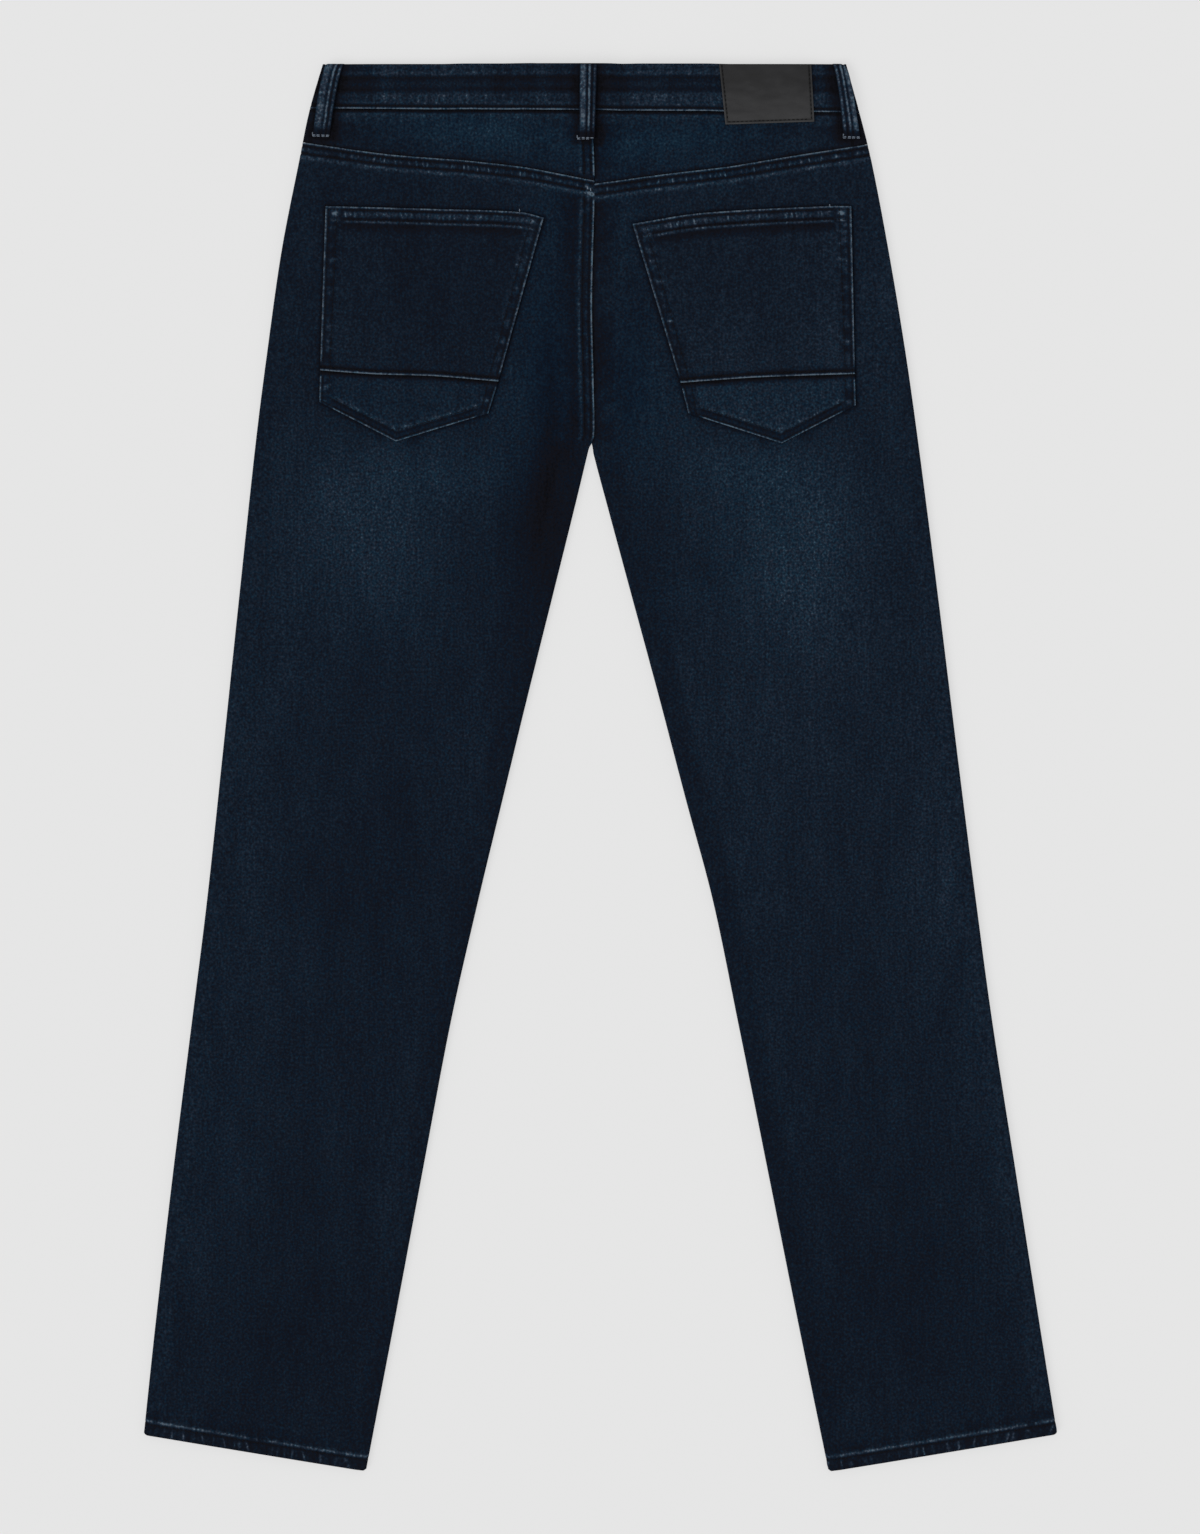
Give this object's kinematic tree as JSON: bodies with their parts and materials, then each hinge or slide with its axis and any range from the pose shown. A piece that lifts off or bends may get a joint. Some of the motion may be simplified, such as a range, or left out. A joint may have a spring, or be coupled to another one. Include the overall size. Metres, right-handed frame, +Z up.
{
  "type": "straight leg jeans",
  "caption": "Straight leg denim jeans laid flat with the seat uppermost, closed at the waist, with yokes, felled seams, patch pockets, belt loops and turned-up hems.",
  "frame": {"origin": "on the floor under the middle of the garment's own box", "axes": "+Y from the hems to the waist, +X to the wearer's right, +Z up from the front, which lies on the floor, to the back"},
  "size_m": [0.7488, 1.1548, 0.0122],
  "materials": {
    "denim": "dark navy cotton twill, faded on the seat and thighs",
    "denim_dark": "dark navy cotton twill, little faded",
    "leather": "dark grey, matt, bare",
    "zip_tape": "woven tape, navy",
    "brass": "aged brass, satin"
  },
  "bodies": {
    "root": {"back_left": "denim", "back_right": "denim", "yoke_left": "denim", "yoke_right": "denim", "pocket_left_upper": "denim_dark", "pocket_left_lower": "denim_dark", "pocket_right_upper": "denim_dark", "pocket_right_lower": "denim_dark", "waistband_back": "denim", "waistband_front_left": "denim", "waistband_front_right": "denim", "belt_loop_left": "denim", "belt_loop_centre": "denim", "belt_loop_right": "denim", "belt_loop_front_left": "denim", "belt_loop_front_right": "denim", "patch": "leather", "front_left": "denim", "front_right": "denim", "pocket_facing_left": "denim_dark", "pocket_facing_right": "denim_dark", "zip": "zip_tape", "zip_slider": "brass", "button": "brass"}
  },
  "joints": []
}
